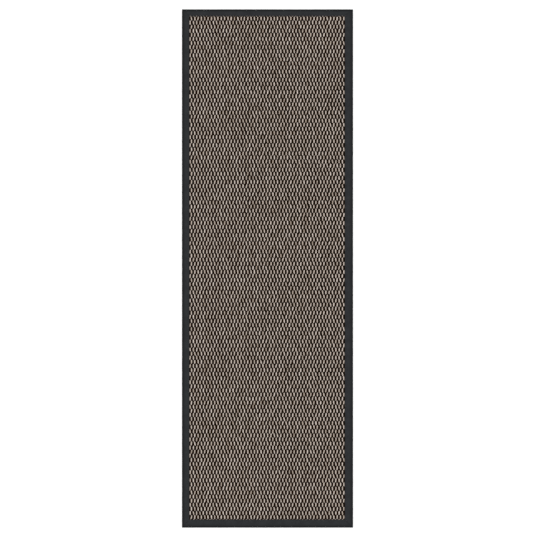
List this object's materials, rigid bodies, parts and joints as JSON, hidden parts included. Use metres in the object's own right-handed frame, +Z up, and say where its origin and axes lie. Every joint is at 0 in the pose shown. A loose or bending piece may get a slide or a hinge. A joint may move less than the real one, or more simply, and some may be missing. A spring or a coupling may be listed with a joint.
{
  "type": "runner rug",
  "caption": "Long narrow flatwoven rug with a chequered loop face, a ground cloth, a latex backing and a mitred cloth tape sewn around its edge.",
  "frame": {"origin": "middle of the underside, on the floor", "axes": "+X across the rug, +Y along the rug from its foot to its head, +Z up out of the walking surface"},
  "size_m": [0.66, 2, 0.0074],
  "materials": {
    "loop_yarn": "matte spun yarn in warm light grey and dark brown, woven in a chequer of raised loops",
    "ground_yarn": "matte dark brown plain-woven ground cloth",
    "latex": "dull dark grey cured latex with a fine non-slip texture",
    "binding_tape": "matte charcoal twill cotton tape",
    "sewing_thread": "near-black spun polyester sewing thread"
  },
  "bodies": {
    "root": {"woven_face": "loop_yarn", "ground_cloth": "ground_yarn", "latex_backing": "latex", "binding_tape_foot": "binding_tape", "binding_tape_right": "binding_tape", "binding_tape_head": "binding_tape", "binding_tape_left": "binding_tape", "needle_thread_foot": "sewing_thread", "needle_thread_right": "sewing_thread", "needle_thread_head": "sewing_thread", "needle_thread_left": "sewing_thread", "bobbin_thread_foot": "sewing_thread", "bobbin_thread_right": "sewing_thread", "bobbin_thread_head": "sewing_thread", "bobbin_thread_left": "sewing_thread"}
  },
  "joints": []
}
